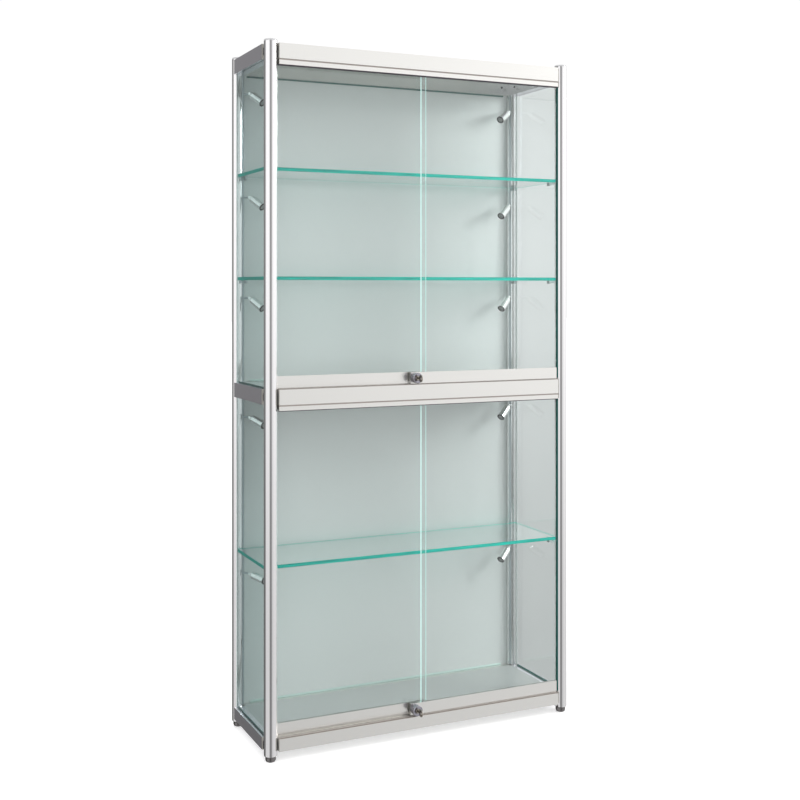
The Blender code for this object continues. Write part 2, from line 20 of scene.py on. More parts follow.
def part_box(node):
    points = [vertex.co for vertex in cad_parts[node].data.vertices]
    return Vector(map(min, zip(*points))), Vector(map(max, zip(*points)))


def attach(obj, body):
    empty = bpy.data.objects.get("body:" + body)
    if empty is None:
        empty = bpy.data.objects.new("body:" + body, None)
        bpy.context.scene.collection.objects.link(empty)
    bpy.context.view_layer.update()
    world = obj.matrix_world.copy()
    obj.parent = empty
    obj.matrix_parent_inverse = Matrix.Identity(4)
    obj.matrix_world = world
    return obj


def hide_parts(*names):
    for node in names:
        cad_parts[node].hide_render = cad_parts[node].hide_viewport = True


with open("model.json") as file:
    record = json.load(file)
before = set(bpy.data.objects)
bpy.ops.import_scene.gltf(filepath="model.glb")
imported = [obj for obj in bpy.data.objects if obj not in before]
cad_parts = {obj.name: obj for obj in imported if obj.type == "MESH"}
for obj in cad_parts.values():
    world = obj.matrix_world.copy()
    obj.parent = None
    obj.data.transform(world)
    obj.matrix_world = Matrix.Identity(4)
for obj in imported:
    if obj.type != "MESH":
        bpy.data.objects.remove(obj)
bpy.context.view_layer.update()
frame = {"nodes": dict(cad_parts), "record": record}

NODES = frame["nodes"]
BODIES = frame["record"]["behaviour"]["bodies"]
BODY_OF = {node: body for body, nodes in BODIES.items() for node in nodes}
JOINTS = frame["record"]["behaviour"]["joints"]
PIVOT_OF = {joint["child"]: Vector(joint["pos_m"]) for joint in JOINTS if "pos_m" in joint}

# Camera
CAMERA_PLACE = (-1.539, -3.291, 1.312)
CAMERA_TURN = radians(24.83)
CAMERA_LENS = 53.93
CAMERA_RISE = -0.141

# The frame's own dimensions
FRONT_BEAM_TALL = 0.043
BASE_BEAM_TALL = 0.035
LIP_TALL = 0.016
DECK_TO_TRACK = 0.00295
ARM_REACH = 0.024
FRONT_ARM_X = 0.4595
REAR_ARM_X = 0.471 - 0.02055 / 2**0.5
POST_TO_GASKET = 0.0158

# Panes, beams and small parts
PANE_ARRIS = 0.0005
SHELF_ARRIS = 0.0003
BEAM_ROUND = 0.0004
BEAD_HALF = 0.430
BEAD_SIZE = 0.0045
BEAD_LIFT = 0.0007
BEAD_GAP = 0.0004
BEAD_START = 0.004
BEAD_END = 0.018
SEAL_OVERLAP_BELOW = 0.010
SEAL_OVERLAP_ABOVE = 0.0065
PLUG_DEEP = 0.0020
PLUG_RECESS = 0.0004
PANEL_SEAL_INSET = 0.012
GASKET_WIDE = 0.0050
GASKET_THICK = 0.0012
GASKET_INSET = 0.0075
GASKET_GAP = 0.0001
RIM_BAND = 0.0002
LENS_SEGMENTS = 24
SCREW_SEGMENTS = 12
SCREW_FROM_END = 0.030
SCREW_RISE = 0.55
PAD_LONG = 0.0100
PAD_DROP = 0.0003
PAD_GAP = 0.0002

# Lights and floor
STUDIO_MIDDLE = Vector((0, 0, 1.0))
SEEN_WHITE = 1.02
FLOOR_SIZE = 40.0


# --- material nodes ----------------------------------------------------------


class Material:
    """A Principled material and short ways to add nodes to it."""

    def __init__(self, name, colour, roughness, metallic=0.0):
        self.material = bpy.data.materials.new(name)
        self.material.use_nodes = True
        self.tree = self.material.node_tree
        self.shader = self.tree.nodes["Principled BSDF"]
        self.shader.inputs["Base Color"].default_value = (*colour, 1.0)
        self.shader.inputs["Roughness"].default_value = roughness
        self.shader.inputs["Metallic"].default_value = metallic
        self.place = self.node("ShaderNodeTexCoord").outputs["Object"]

    def node(self, kind, **values):
        made = self.tree.nodes.new(kind)
        for key, value in values.items():
            setattr(made, key, value)
        return made

    def link(self, source, target):
        self.tree.links.new(source, target)

    def noise(self, scale, stretch=(1, 1, 1), detail=3.0, roughness=0.55):
        """Noise from 0 to 1 in object space. stretch multiplies each axis's frequency."""
        mapping = self.node("ShaderNodeMapping")
        mapping.inputs["Scale"].default_value = stretch
        self.link(self.place, mapping.inputs["Vector"])
        texture = self.node("ShaderNodeTexNoise")
        texture.inputs["Scale"].default_value = scale
        texture.inputs["Detail"].default_value = detail
        texture.inputs["Roughness"].default_value = roughness
        self.link(mapping.outputs["Vector"], texture.inputs["Vector"])
        return texture.outputs["Fac"]

    def spread(self, value, low, high, start=0.3, end=0.7):
        """Maps the part of a value between start and end to the range between low and high."""
        ranged = self.node("ShaderNodeMapRange")
        for socket, number in zip(ranged.inputs[1:5], (start, end, low, high)):
            socket.default_value = number
        self.link(value, ranged.inputs[0])
        return ranged.outputs[0]

    def blend(self, factor, first, second):
        """A colour between two others."""
        mix = self.node("ShaderNodeMix", data_type="RGBA")
        self.link(factor, mix.inputs[0])
        for socket, colour in ((mix.inputs[6], first), (mix.inputs[7], second)):
            if isinstance(colour, tuple):
                socket.default_value = (*colour, 1.0)
            else:
                self.link(colour, socket)
        return mix.outputs[2]

    def bump(self, height, distance, strength=1.0):
        bump = self.node("ShaderNodeBump")
        bump.inputs["Strength"].default_value = strength
        bump.inputs["Distance"].default_value = distance
        self.link(height, bump.inputs["Height"])
        self.link(bump.outputs["Normal"], self.shader.inputs["Normal"])

    def edges(self, low=0.505, high=0.56):
        """1 on outer edges and 0 elsewhere."""
        geometry = self.node("ShaderNodeNewGeometry")
        return self.spread(geometry.outputs["Pointiness"], 0.0, 1.0, low, high)

    def colour(self, socket):
        self.link(socket, self.shader.inputs["Base Color"])

    def roughness(self, socket):
        self.link(socket, self.shader.inputs["Roughness"])


def drawn_metal(name, stretch, base, rough):
    """Satin anodised aluminium whose fine die lines run along one axis."""
    m = Material(name, base, rough[0], metallic=1.0)
    lines = m.noise(420, stretch, detail=4.0)
    clouds = m.noise(7, detail=2.0)
    darker = tuple(0.93 * c for c in base)
    painted_highlight = tuple(min(1.0, 1.12 * c) for c in base)
    # Brighter along the outer edges: a painted highlight. The darker clouds are the metal's own
    # uneven tone.
    m.colour(m.blend(m.edges(), m.blend(clouds, darker, base), painted_highlight))
    m.roughness(m.spread(lines, *rough))
    m.bump(lines, 0.000002, 0.2)
    return m.material


def clear_glass(name, tint):
    """Polished glass that lets lamps through, faintly uneven like drawn sheet."""
    m = Material(name, tint, 0.0)
    m.shader.inputs["Transmission Weight"].default_value = 1.0
    m.shader.inputs["IOR"].default_value = 1.5
    m.shader.inputs["Specular IOR Level"].default_value = 0.3
    paler = tuple(min(1.0, c + 0.012) for c in tint)
    m.colour(m.blend(m.noise(3.0, detail=1.0), tint, paler))
    mix = m.node("ShaderNodeMixShader")
    path = m.node("ShaderNodeLightPath")
    through = m.node("ShaderNodeBsdfTransparent")
    through.inputs["Color"].default_value = (*tint, 1.0)
    m.link(path.outputs["Is Shadow Ray"], mix.inputs[0])
    m.link(m.shader.outputs["BSDF"], mix.inputs[1])
    m.link(through.outputs["BSDF"], mix.inputs[2])
    m.link(mix.outputs["Shader"], m.tree.nodes["Material Output"].inputs["Surface"])
    return m.material


def glass_edge(name, light, dark, glow, lit_to_right=False):
    """A ground glass edge: deep green, with painted light in uneven lighter streaks along it and a
    painted glow standing in for light gathered in the glass. An edge lit to the right glows more
    towards the local +X end."""
    m = Material(name, dark, 0.3)
    painted_light_streaks = m.noise(9, (1, 1, 60), detail=3.0)
    m.colour(m.blend(m.spread(painted_light_streaks, 0.0, 1.0, 0.35, 0.65), dark, light))
    m.roughness(m.spread(m.noise(260), 0.25, 0.40))
    m.shader.inputs["Specular IOR Level"].default_value = 0.05
    # The glow is painted light: these edges are no lamps.
    m.shader.inputs["Emission Color"].default_value = (*light, 1.0)
    m.shader.inputs["Emission Strength"].default_value = glow
    if lit_to_right:
        parts = m.node("ShaderNodeSeparateXYZ")
        m.link(m.place, parts.inputs[0])
        strength = m.spread(parts.outputs[0], 0.35 * glow, glow, -0.45, 0.30)
        m.link(strength, m.shader.inputs["Emission Strength"])
    return m.material


def white_board(name, shade):
    """White melamine-faced board with the faint pebble of its facing. A shade below 1 darkens all
    of it as painted shade.
    """
    darker, lighter = (0.78, 0.80, 0.79), (0.83, 0.845, 0.84)
    m = Material(name, tuple(shade * c for c in lighter), 0.5)
    clouds = m.noise(2.2, detail=2.0)
    m.colour(m.blend(clouds, tuple(shade * c for c in darker), tuple(shade * c for c in lighter)))
    pebble = m.noise(700, detail=2.0)
    m.roughness(m.spread(pebble, 0.40, 0.55))
    m.bump(pebble, 0.00004, 0.5)
    m.shader.inputs["Coat Weight"].default_value = 0.8
    m.shader.inputs["Coat Roughness"].default_value = 0.05
    return m.material


def polished_metal(name, base, rough):
    """Plated metal with fine handling scratches, and a painted highlight that makes it a little
    brighter at its edges.
    """
    m = Material(name, base, rough[0], metallic=1.0)
    scratches = m.noise(900, (1, 1, 0.15), detail=4.0)
    bright = tuple(min(1.0, c * 1.25) for c in base)
    # Painted highlight along the outer edges.
    m.colour(m.blend(m.edges(), base, bright))
    m.roughness(m.spread(scratches, *rough))
    m.bump(scratches, 0.00001, 0.3)
    return m.material


def moulded_plastic(name, base, rough):
    """Moulded plastic with a fine spark-eroded grain."""
    m = Material(name, base, rough[0])
    grain = m.noise(1500, detail=2.0)
    lighter = tuple(min(1.0, c * 1.12 + 0.01) for c in base)
    m.colour(m.blend(grain, base, lighter))
    m.roughness(m.spread(grain, *rough))
    m.bump(grain, 0.00003, 0.4)
    return m.material


def sawn_metal():
    """The matt end grain of a sawn extrusion."""
    m = Material("sawn_aluminium", (0.52, 0.51, 0.47), 0.6, metallic=0.2)
    marks = m.noise(300, (1, 0.1, 1), detail=4.0)
    m.colour(m.blend(marks, (0.42, 0.41, 0.37), (0.56, 0.55, 0.51)))
    m.roughness(m.spread(marks, 0.5, 0.7))
    m.bump(marks, 0.00005, 0.5)
    return m.material


ALONG = {"x": (0.02, 1, 1), "y": (1, 0.02, 1), "z": (1, 1, 0.02)}
# One aluminium in three copies whose tint and brightness differ as painted light, each matched to
# how the front and rear beams, the side beams or the uprights are lit.
SATIN = {
    "x": drawn_metal("satin_aluminium_front", ALONG["x"], (0.81, 0.80, 0.775), (0.20, 0.27)),
    "y": drawn_metal("satin_aluminium_side", ALONG["y"], (0.86, 0.84, 0.89), (0.20, 0.27)),
    "z": drawn_metal("satin_aluminium_upright", ALONG["z"], (0.85, 0.84, 0.85), (0.10, 0.16)),
}
SAWN = sawn_metal()
# A darker copy of the upright aluminium for the rear right upright: painted shade.
SHADED = drawn_metal("satin_aluminium_painted_shade", ALONG["z"], (0.66, 0.665, 0.665), (0.14, 0.22))
STRIP = drawn_metal("strip_aluminium", ALONG["z"], (0.46, 0.50, 0.52), (0.28, 0.42))
GLASS = clear_glass("clear_glass", (0.942, 0.975, 0.970))
SIDE_GLASS = clear_glass("side_glass", (0.87, 0.965, 0.962))
SHELF_GLASS = clear_glass("shelf_glass", (0.90, 0.97, 0.955))
# Glass edges: the lighter streaks on all of them are painted light, and the door and shelf edges
# glow as painted light though they are no lamps.
PANE_EDGE = glass_edge("pane_edge", (0.10, 0.42, 0.36), (0.015, 0.11, 0.09), 0.0)
DOOR_EDGE = glass_edge("door_edge", (0.70, 0.93, 0.89), (0.45, 0.80, 0.74), 0.50)
SHELF_EDGE = glass_edge("shelf_edge", (0.0, 0.46, 0.37), (0.0, 0.11, 0.09), 0.66, True)
BOARD = white_board("white_board", 1.0)
# The decks' board is the white board a third darker: painted shade.
SHADED_DECK_BOARD = white_board("deck_board_painted_shade", 0.68)
CAP = moulded_plastic("cap_plastic", (0.56, 0.56, 0.57), (0.35, 0.5))
FOOT = polished_metal("foot_black_chrome", (0.20, 0.19, 0.19), (0.12, 0.26))
CHROME = polished_metal("lock_chrome", (0.34, 0.33, 0.37), (0.08, 0.2))
NICKEL = polished_metal("key_nickel", (0.40, 0.37, 0.33), (0.12, 0.24))
LAMP = polished_metal("lamp_silver", (0.76, 0.76, 0.75), (0.10, 0.20))
DARK = moulded_plastic("dark_plastic", (0.02, 0.02, 0.022), (0.35, 0.5))
# Taupe colour of the lip seals and the rail brushes: painted shade.
SEAL = moulded_plastic("taupe_shade_seal", (0.33, 0.29, 0.265), (0.5, 0.7))
# Near-black colour of the lip brushes: painted shade.
DARK_SHADE_BRUSH = moulded_plastic("dark_shade_brush", (0.08, 0.07, 0.08), (0.6, 0.8))
# Dark green of the seals: on the door seals it is a near-black seal with painted green light from
# the glass.
GREEN_SEAL = moulded_plastic("dark_green_seal", (0.010, 0.115, 0.100), (0.35, 0.5))
BEAD = moulded_plastic("pale_bead", (0.62, 0.76, 0.72), (0.3, 0.45))
GASKET = moulded_plastic("pale_gasket", (0.80, 0.83, 0.82), (0.3, 0.45))
PAD = moulded_plastic("grey_pad", (0.30, 0.32, 0.32), (0.3, 0.5))
BEZEL = polished_metal("bezel_black_chrome", (0.03, 0.03, 0.032), (0.15, 0.3))
LENS = moulded_plastic("frosted_lens", (0.26, 0.27, 0.26), (0.12, 0.2))


def dress(node, material):
    """Gives a CAD node its finished material."""
    mesh = NODES[node].data
    mesh.materials.clear()
    mesh.materials.append(material)


def saw_ends(node, axis):
    """Gives the two end faces of an extrusion their matt sawn look."""
    mesh = NODES[node].data
    mesh.materials.append(SAWN)
    for face in mesh.polygons:
        if abs(face.normal[axis]) > 0.9:
            face.material_index = 1


def soften(node, width, segments=2):
    """Small rounded edges on a CAD node."""
    bevel = NODES[node].modifiers.new("edges", "BEVEL")
    bevel.width = width
    bevel.segments = segments
    bevel.limit_method = "ANGLE"
    bevel.angle_limit = radians(40)
    bevel.harden_normals = False


def dress_cad_nodes():
    for node in NODES:
        if node.startswith("upright_"):
            # The rear right upright gets the darker copy of its aluminium: painted shade.
            dress(node, SHADED if node.endswith("rear_right") else SATIN["z"])
        elif node.endswith("_beam"):
            side = node.startswith(("left_", "right_"))
            dress(node, SATIN["y" if side else "x"])
            saw_ends(node, 1 if side else 0)
            soften(node, BEAM_ROUND)
        elif node.endswith("_door_rail"):
            dress(node, SATIN["x"])
            soften(node, BEAM_ROUND)
        elif node.startswith("cap_"):
            dress(node, CAP)
        elif node.startswith("foot_"):
            dress(node, FOOT)
        elif node.endswith(("_panel", "_deck")):
            # The decks get the darker board, painted shade.
            dress(node, SHADED_DECK_BOARD if node.endswith("_deck") else BOARD)
        elif node.endswith("_lamp_strip"):
            dress(node, STRIP)
        elif node.endswith("_housing"):
            dress(node, CHROME)
        elif node.endswith("_key"):
            dress(node, NICKEL)
        elif "_lamp_" in node:
            dress(node, LAMP)


# --- panes and shelves -------------------------------------------------------


def ground_pane(node, faces, edges, arris):
    """A pane in the place of a CAD node: large clear faces, narrow green edges and a ground
    arris between them. The edge where a door meets the other door is painted pale and glowing, as
    painted light."""
    low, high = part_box(node)
    size = high - low
    thin = min(range(3), key=lambda axis: size[axis])
    bm = bmesh.new()
    bmesh.ops.create_cube(bm, size=1.0)
    bmesh.ops.scale(bm, vec=size, verts=bm.verts)
    bmesh.ops.bevel(
        bm,
        geom=bm.edges[:],
        offset=arris,
        segments=1,
        affect="EDGES",
        profile=0.5,
    )
    bmesh.ops.recalc_face_normals(bm, faces=bm.faces)
    mesh = bpy.data.meshes.new(node + "_ground")
    mesh.materials.append(faces)
    mesh.materials.append(edges)
    mesh.materials.append(DOOR_EDGE)
    meets = 1 if "_left_" in node else -1
    for face in bm.faces:
        if abs(face.normal[thin]) > 0.9:
            face.material_index = 0
        # A door's meeting edge gets the pale glowing door edge: painted light.
        elif "_door_" in node and face.normal.x * meets > 0.5:
            face.material_index = 2
        else:
            face.material_index = 1
    bm.to_mesh(mesh)
    bm.free()
    pane = bpy.data.objects.new(node + "_ground", mesh)
    bpy.context.scene.collection.objects.link(pane)
    pane.location = (low + high) / 2
    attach(pane, BODY_OF[node])
    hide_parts(node)
    return pane


def build_panes():
    for node in list(NODES):
        if node.startswith("glass_shelf_"):
            ground_pane(node, SHELF_GLASS, SHELF_EDGE, SHELF_ARRIS)
        elif node.endswith("_glass"):
            faces = SIDE_GLASS if "_left_side_" in node else GLASS
            ground_pane(node, faces, PANE_EDGE, PANE_ARRIS)


# --- small parts -------------------------------------------------------------


def part_object(name, bm, material, body, place=Matrix()):
    """Closes a mesh into a piece that rides on one of the frame's bodies."""
    bmesh.ops.recalc_face_normals(bm, faces=bm.faces)
    mesh = bpy.data.meshes.new(name)
    bm.to_mesh(mesh)
    bm.free()
    mesh.shade_smooth()
    mesh.set_sharp_from_angle(angle=radians(30))
    mesh.materials.append(material)
    part = bpy.data.objects.new(name, mesh)
    bpy.context.scene.collection.objects.link(part)
    part.matrix_world = place
    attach(part, body)
    return part


def extrusion(outline, place, along):
    """A straight bar: place turns each (u, v) of its outline into a corner, swept along."""
    bm = bmesh.new()
    near = [bm.verts.new(place(u, v)) for u, v in outline]
    swept = Vector(along)
    far = [bm.verts.new(vert.co + swept) for vert in near]
    bm.faces.new(near)
    bm.faces.new(far)
    for i, j in zip(range(len(near)), [*range(1, len(near)), 0]):
        bm.faces.new((near[i], near[j], far[j], far[i]))
    return bm


def wedge(width, height):
    """A bar's section with one long corner taken off, so that it leans against a pane."""
    return [(0, 0), (width, 0), (width, height * 0.45), (width * 0.45, height), (0, height)]


def spun(profile, segments):
    """A solid of revolution about local Z, from a profile of (radius, z) that starts and ends on
    the axis, or is a ring of its own."""
    bm = bmesh.new()
    turns = [2 * pi * step / segments for step in range(segments)]
    rings = []
    for r, z in profile:
        spots = [(r * cos(turn), r * sin(turn), z) for turn in turns] if r > 0 else [(0, 0, z)]
        rings.append([bm.verts.new(spot) for spot in spots])
    bands = list(zip(rings, rings[1:]))
    if profile[0][0] > 0:
        bands.append((rings[-1], rings[0]))
    for near, far in bands:
        for here in range(segments):
            after = here + 1
            walk = ((near, here), (near, after), (far, after), (far, here))
            corners = [ring[step % len(ring)] for ring, step in walk]
            bm.faces.new(list(dict.fromkeys(corners)))
    return bm


def centre_of(node):
    low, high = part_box(node)
    return (low + high) / 2


# Sections of the small bars, in metres from the corner or the axis that each one follows
LIP_SEAL = (
    (0.0013, -0.0038),
    (0.0038, -0.0038),
    (0.0038, -0.0002),
    (0.0019, -0.0002),
    (0.0013, -0.0008),
)
DOOR_SEAL = (
    (-0.0146, -0.0110),
    (-0.0168, -0.0069),
    (-0.0146, -0.0069),
    (-0.0146, -0.0008),
    (-0.0100, -0.0008),
    (-0.0100, -0.0110),
)
PANEL_SEAL = (
    (-0.0002, -0.0002),
    (-0.0002, -0.0030),
    (-0.0022, -0.0030),
    (-0.0050, -0.0008),
    (-0.0050, -0.0002),
)
PAD_CHANNEL = (
    (-0.0032, -0.0090),
    (0.0032, -0.0090),
    (0.0032, 0.0),
    (0.0021, 0.0),
    (0.0021, -0.0081),
    (-0.0021, -0.0081),
    (-0.0021, 0.0),
    (-0.0032, 0.0),
)

# Profiles of the small turned parts, as (radius, height)
BEZEL_PROFILE = ((0.0122, 0.0586), (0.0083, 0.0592), (0.0078, 0.0581), (0.0122, 0.0581))
LENS_PROFILE = (
    (0.0, 0.0565),
    (0.0035, 0.0565),
    (0.0094, 0.0578),
    (0.0094, 0.0554),
    (0.0, 0.0554),
)
SCREW_PROFILE = (
    (0.0, 0.0004),
    (0.0015, 0.0004),
    (0.0015, 0.0016),
    (0.0032, 0.0016),
    (0.0038, 0.0004),
    (0.0038, 0.0),
    (0.0, 0.0),
)

# Brushes of painted shade: what they are at, the levels, their depth and height from the beam's
# corner
SHADE_BRUSHES = (
    ("rail", ("middle", "base"), (0.0045, 0.0092), (0.0002, 0.0016), SEAL),
    ("lip", ("top", "middle"), (0.0058, 0.0105), (-0.0028, 0.0030), DARK_SHADE_BRUSH),
)


def build_lip_seals():
    """A dark bead in the narrow groove between each upper front beam and its lip: painted shade, a
    dark strip standing in for the shadow in the groove.
    """
    for level in ("top", "middle"):
        low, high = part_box(f"front_{level}_beam")
        bottom = low.z + LIP_TALL
        bm = extrusion(
            LIP_SEAL,
            lambda u, v: (low.x, low.y + u, bottom + v),
            (high.x - low.x, 0, 0),
        )
        part_object(f"{level}_lip_seal", bm, SEAL, "frame")


def build_shade_brushes():
    """Dark strips shaped as dust brushes, painted shade: one under each pair of rails, and one
    behind each lip above the doors.
    """
    for kind, levels, depth, height, material in SHADE_BRUSHES:
        for level in levels:
            low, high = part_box(f"front_{level}_beam")
            base = low.z if kind == "lip" else centre_of(f"{level}_deck").z + DECK_TO_TRACK
            rounded = 0.3 * (height[1] - height[0])
            outline = [
                (depth[0], height[0] + rounded),
                (depth[0] + rounded, height[0]),
                (depth[1], height[0]),
                (depth[1], height[1]),
                (depth[0], height[1]),
            ]
            bm = extrusion(
                outline,
                lambda u, v: (low.x, low.y + u, base + v),
                (high.x - low.x, 0, 0),
            )
            part_object(f"{level}_{kind}_brush", bm, material, "frame")


def build_door_seals():
    """The dark seal in the front right upright's groove, which the outer doors close into. Its dark
    green is the seal's own near-black with painted green light from the door glass's edge.
    """
    middle = centre_of("cap_front_right")
    for section in ("upper", "lower"):
        low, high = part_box(f"{section}_right_door_glass")
        bottom = low.z - SEAL_OVERLAP_BELOW
        bm = extrusion(
            DOOR_SEAL,
            lambda u, v: (middle.x + u, middle.y + v, bottom),
            (0, 0, high.z + SEAL_OVERLAP_ABOVE - bottom),
        )
        part_object(f"{section}_door_seal", bm, GREEN_SEAL, "frame")


def build_end_plugs():
    """Grey plugs in the open ends of the front beams."""
    beams = (
        ("top", FRONT_BEAM_TALL, LIP_TALL),
        ("middle", FRONT_BEAM_TALL, LIP_TALL),
        ("base", BASE_BEAM_TALL, 0),
    )
    for level, height, lip in beams:
        low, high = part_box(f"front_{level}_beam")
        top = low.z + height + lip
        outline = (
            (0.0093, -height + 0.0033),
            (0.0347, -height + 0.0033),
            (0.0347, -0.0093),
            (0.0110, -0.0093),
            (0.0093, -0.0110),
        )
        for side, x in (("left", low.x + PLUG_RECESS), ("right", high.x - PLUG_RECESS - PLUG_DEEP)):
            bm = extrusion(outline, lambda u, v: (x, low.y + u, top + v), (PLUG_DEEP, 0, 0))
            part_object(f"{level}_{side}_end_plug", bm, PAD, "frame")


def build_panel_seals():
    """A dark bead along the top of each back panel, in the corner under the rear beam."""
    for section, level in (("upper", "top"), ("lower", "middle")):
        low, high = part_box(f"rear_{level}_beam")
        panel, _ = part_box(f"{section}_back_panel")
        bm = extrusion(
            PANEL_SEAL,
            lambda u, v: (low.x + PANEL_SEAL_INSET, panel.y + u, low.z + v),
            (high.x - low.x - 2 * PANEL_SEAL_INSET, 0, 0),
        )
        part_object(f"{section}_panel_seal", bm, GREEN_SEAL, "frame")


def build_deck_beads():
    """Pale green beads where the decks meet the side panes and the back panel."""
    for level, section in (("middle", "upper"), ("base", "lower")):
        low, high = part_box(f"{level}_deck")
        bottom = high.z + BEAD_LIFT
        panel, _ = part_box(f"{section}_back_panel")
        inner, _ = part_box(f"{section}_right_side_glass")
        outline = (
            (0, 0),
            (-BEAD_SIZE, 0),
            (-BEAD_SIZE, 0.3 * BEAD_SIZE),
            (-0.3 * BEAD_SIZE, BEAD_SIZE),
            (0, BEAD_SIZE),
        )
        bm = extrusion(
            outline,
            lambda u, v: (-BEAD_HALF, panel.y - BEAD_GAP + u, bottom + v),
            (2 * BEAD_HALF, 0, 0),
        )
        part_object(f"{section}_back_bead", bm, BEAD, "frame")
        for side, way in (("left", -1), ("right", 1)):
            bm = extrusion(
                outline,
                lambda u, v: (way * (inner.x - BEAD_GAP + u), low.y + BEAD_START, bottom + v),
                (0, high.y - low.y - BEAD_START - BEAD_END, 0),
            )
            part_object(f"{section}_{side}_bead", bm, GREEN_SEAL, "frame")


def build_gaskets():
    """Pale wedges that hold each side pane at its two upright ends, inside and outside."""
    for node in [n for n in NODES if n.endswith("_side_glass")]:
        low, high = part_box(node)
        outwards = 1 if low.x > 0 else -1
        inner = low.x if outwards > 0 else high.x
        outer = high.x if outwards > 0 else low.x
        bottom, top = low.z + GASKET_INSET, high.z - GASKET_INSET
        front_post = centre_of("cap_front_left").y + POST_TO_GASKET
        rear_post = centre_of("cap_rear_left").y - POST_TO_GASKET
        for side, face, way in (("inner", inner, -outwards), ("outer", outer, outwards)):
            for end, start, lean in (("front", front_post, 1), ("rear", rear_post, -1)):
                bm = extrusion(
                    wedge(GASKET_WIDE, GASKET_THICK),
                    lambda u, v: (face + way * (v + GASKET_GAP), start + lean * u, bottom),
                    (0, 0, top - bottom),
                )
                name = node.replace("side_glass", f"{side}_{end}_gasket")
                part_object(name, bm, GASKET, "frame")


def lamp_place(node):
    """Where a lamp's pin is and how it is turned, with Z along its beam. The vertices of the
    mouth's rim are the ones furthest from the pin."""
    pin = PIVOT_OF[BODY_OF[node]]
    spans = [vert.co - pin for vert in NODES[node].data.vertices]
    reach = max(span.length for span in spans)
    beam = sum((span for span in spans if span.length > reach - RIM_BAND), Vector())
    return Matrix.Translation(pin) @ beam.to_track_quat("Z", "Y").to_matrix().to_4x4()


def build_lenses():
    """A black bezel and a frosted lens in the mouth of each lamp."""
    parts = (("bezel", BEZEL_PROFILE, BEZEL), ("lens", LENS_PROFILE, LENS))
    for node in [n for n in NODES if "_lamp_" in n and not n.endswith("_strip")]:
        for name, profile, material in parts:
            part_object(
                f"{node}_{name}",
                spun(profile, LENS_SEGMENTS),
                material,
                BODY_OF[node],
                lamp_place(node),
            )


def build_set_screws():
    """A black socket screw near each end of the inner faces of the rear and side beams."""
    for node in [n for n in NODES if n.endswith("_beam") and not n.startswith("front_")]:
        low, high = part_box(node)
        middle = (low + high) / 2
        z = low.z + SCREW_RISE * (high.z - low.z)
        if node.startswith("rear_"):
            facing = Matrix.Rotation(pi / 2, 4, "X")
            spots = [(x, low.y, z) for x in (low.x + SCREW_FROM_END, high.x - SCREW_FROM_END)]
        else:
            right = middle.x > 0
            facing = Matrix.Rotation(-pi / 2 if right else pi / 2, 4, "Y")
            inner = low.x if right else high.x
            ends = (low.y + SCREW_FROM_END, high.y - SCREW_FROM_END)
            spots = [(inner, y, z) for y in ends]
        for number, spot in enumerate(spots, start=1):
            part_object(
                f"{node}_screw_{number}",
                spun(SCREW_PROFILE, SCREW_SEGMENTS),
                DARK,
                "frame",
                Matrix.Translation(spot) @ facing,
            )


def build_pads():
    """A grey cushion around the tip of each arm, just under its shelf."""
    for node in [n for n in NODES if n.startswith("glass_shelf_")]:
        low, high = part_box(node)
        top = low.z - PAD_DROP
        front_tip = low.y + ARM_REACH - PAD_LONG - PAD_GAP
        rear_tip = high.y - ARM_REACH + PAD_GAP
        for edge, side in (("left", -1), ("right", 1)):
            arms = (("front", FRONT_ARM_X, front_tip), ("rear", REAR_ARM_X, rear_tip))
            for end, arm_x, tip in arms:
                x = side * arm_x
                bm = extrusion(PAD_CHANNEL, lambda u, v: (x + u, tip, top + v), (0, PAD_LONG, 0))
                part_object(f"{node}_{edge}_{end}_pad", bm, PAD, "frame")


def build_small_parts():
    build_lip_seals()
    build_shade_brushes()
    build_door_seals()
    build_end_plugs()
    build_panel_seals()
    build_deck_beads()
    build_gaskets()
    build_lenses()
    build_set_screws()
    build_pads()


# --- stage -------------------------------------------------------------------


def build_camera():
    data = bpy.data.cameras.new("camera")
    data.lens = CAMERA_LENS
    data.sensor_width = 36.0
    data.shift_y = CAMERA_RISE
    camera = bpy.data.objects.new("camera", data)
    bpy.context.scene.collection.objects.link(camera)
    camera.location = CAMERA_PLACE
    camera.rotation_euler = (pi / 2, 0, -CAMERA_TURN)
    bpy.context.scene.camera = camera


def build_floor():
    bm = bmesh.new()
    bmesh.ops.create_grid(bm, x_segments=1, y_segments=1, size=FLOOR_SIZE)
    mesh = bpy.data.meshes.new("floor")
    bm.to_mesh(mesh)
    bm.free()
    floor = bpy.data.objects.new("floor", mesh)
    bpy.context.scene.collection.objects.link(floor)
    m = Material("pale_floor", (0.90, 0.90, 0.90), 0.6)
    m.colour(m.blend(m.noise(0.8), (0.895, 0.895, 0.895), (0.91, 0.91, 0.91)))
    m.shader.inputs["Emission Color"].default_value = (1.0, 1.0, 1.0, 1.0)
    m.shader.inputs["Emission Strength"].default_value = FLOOR_GLOW
    mesh.materials.append(m.material)
    floor.visible_glossy = False
    floor.visible_transmission = False
    floor.visible_diffuse = False


# How bright the studio is all round at eye level, as (azimuth, brightness). Azimuth 0 is straight
# ahead of the doors, 90 at +X and 180 behind.
STUDIO_ROUND = (
    (-180, 0.50),
    (-165, 0.20),
    (-130, 0.20),
    (-112, 0.40),
    (-104, 1.05),
    (-40, 1.05),
    (-34, 0.34),
    (-4, 0.34),
    (2, 0.86),
    (17, 0.90),
    (34, 1.10),
    (105, 1.05),
    (125, 0.66),
    (150, 0.80),
    (180, 0.50),
)
STUDIO_TOP = 0.85
STUDIO_BELOW = 0.64
FLOOR_GLOW = 0.45
STUDIO_FILL = 0.45


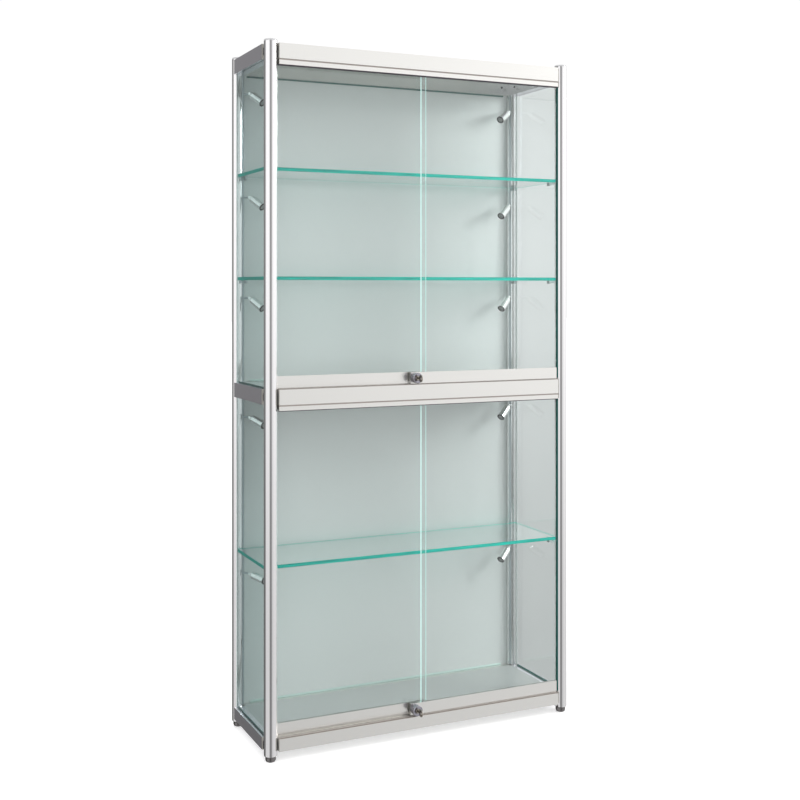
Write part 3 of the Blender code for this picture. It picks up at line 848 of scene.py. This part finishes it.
def softbox(name, azimuth, elevation, distance, size, power, reflected=True):
    """An area light that faces the showcase, placed by the same azimuth as the studio."""
    data = bpy.data.lights.new(name, "AREA")
    data.shape = "RECTANGLE"
    data.size, data.size_y = size
    data.energy = power
    light = bpy.data.objects.new(name, data)
    bpy.context.scene.collection.objects.link(light)
    a, e = radians(azimuth), radians(elevation)
    way = Vector((sin(a) * cos(e), -cos(a) * cos(e), sin(e)))
    light.location = STUDIO_MIDDLE + way * distance
    light.rotation_euler = (-way).to_track_quat("-Z", "Y").to_euler()
    light.visible_camera = False
    light.visible_glossy = reflected


def build_studio():
    """A pale studio whose brightness changes with direction. The camera itself sees it white."""
    world = bpy.data.worlds.new("studio")
    bpy.context.scene.world = world
    world.use_nodes = True
    tree = world.node_tree
    background = tree.nodes["Background"]

    def math_node(operation, *values):
        made = tree.nodes.new("ShaderNodeMath")
        made.operation = operation
        for socket, value in zip(made.inputs, values):
            if isinstance(value, (int, float)):
                socket.default_value = value
            else:
                tree.links.new(value, socket)
        return made.outputs[0]

    def mix(factor, first, second):
        made = tree.nodes.new("ShaderNodeMix")
        sockets = (made.inputs[0], made.inputs[2], made.inputs[3])
        for socket, value in zip(sockets, (factor, first, second)):
            if isinstance(value, (int, float)):
                socket.default_value = value
            else:
                tree.links.new(value, socket)
        return made.outputs[0]

    place = tree.nodes.new("ShaderNodeTexCoord")
    parts = tree.nodes.new("ShaderNodeSeparateXYZ")
    tree.links.new(place.outputs["Generated"], parts.inputs[0])
    ahead = math_node("MULTIPLY", parts.outputs[1], -1.0)
    turn = math_node("ARCTAN2", parts.outputs[0], ahead)
    share = math_node("MULTIPLY_ADD", turn, 0.5 / pi, 0.5)
    ramp = tree.nodes.new("ShaderNodeValToRGB")
    stops = ramp.color_ramp.elements
    for stop in list(stops)[1:]:
        stops.remove(stop)
    for i, (azimuth, bright) in enumerate(STUDIO_ROUND):
        stop = stops[0] if i == 0 else stops.new((azimuth + 180) / 360)
        stop.position = (azimuth + 180) / 360
        stop.color = (bright, bright, bright, 1.0)
    tree.links.new(share, ramp.inputs[0])
    eye_level = tree.nodes.new("ShaderNodeRGBToBW")
    tree.links.new(ramp.outputs[0], eye_level.inputs[0])

    def rise(low, high):
        ranged = tree.nodes.new("ShaderNodeMapRange")
        ranged.interpolation_type = "SMOOTHSTEP"
        ranged.inputs[1].default_value, ranged.inputs[2].default_value = low, high
        tree.links.new(parts.outputs[2], ranged.inputs[0])
        return ranged.outputs[0]

    upwards = mix(rise(0.55, 0.85), eye_level.outputs[0], STUDIO_TOP)
    all_round = math_node("MULTIPLY", upwards, mix(rise(-0.32, 0.08), STUDIO_BELOW, 1.0))
    path = tree.nodes.new("ShaderNodeLightPath")
    bounced = math_node("MULTIPLY_ADD", path.outputs["Is Diffuse Ray"], STUDIO_FILL, 1.0)
    lit = math_node("MULTIPLY", all_round, bounced)
    shown = mix(path.outputs["Is Camera Ray"], lit, SEEN_WHITE)
    tree.links.new(shown, background.inputs["Strength"])
    background.inputs["Color"].default_value = (1.0, 1.0, 1.0, 1.0)


def build_light():
    build_studio()
    softbox("key_light", 60, 22, 4.2, (0.7, 1.0), 31)
    softbox("fill_light", -25, 6, 2.3, (0.9, 1.4), 5.7, reflected=False)


def main():
    bpy.context.scene.view_settings.view_transform = "Standard"
    dress_cad_nodes()
    build_panes()
    build_small_parts()
    build_camera()
    build_floor()
    build_light()


main()
